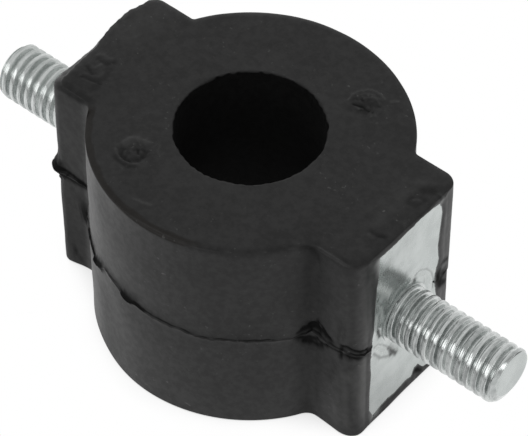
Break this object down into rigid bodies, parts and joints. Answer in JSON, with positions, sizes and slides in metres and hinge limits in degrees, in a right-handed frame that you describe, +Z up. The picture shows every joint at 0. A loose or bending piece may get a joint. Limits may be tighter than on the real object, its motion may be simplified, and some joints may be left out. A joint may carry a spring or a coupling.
{
  "type": "anti-vibration ring mount",
  "caption": "Thick rubber ring with a moulded pad at each end, and a zinc-plated plate and threaded stud bonded into each pad.",
  "frame": {"origin": "where the axis of the ring's bore crosses the common axis of the two studs, at the middle of the height", "axes": "+X along the stud axis towards the front stud, +Z up along the bore axis, +Y across"},
  "size_m": [0.0632, 0.0318, 0.0246],
  "materials": {
    "black_rubber": "satin moulded",
    "zinc_plated_steel": "bright zinc"
  },
  "bodies": {
    "root": {"rubber_body": "black_rubber", "front_plate": "zinc_plated_steel", "rear_plate": "zinc_plated_steel", "front_stud": "zinc_plated_steel", "rear_stud": "zinc_plated_steel"}
  },
  "joints": []
}
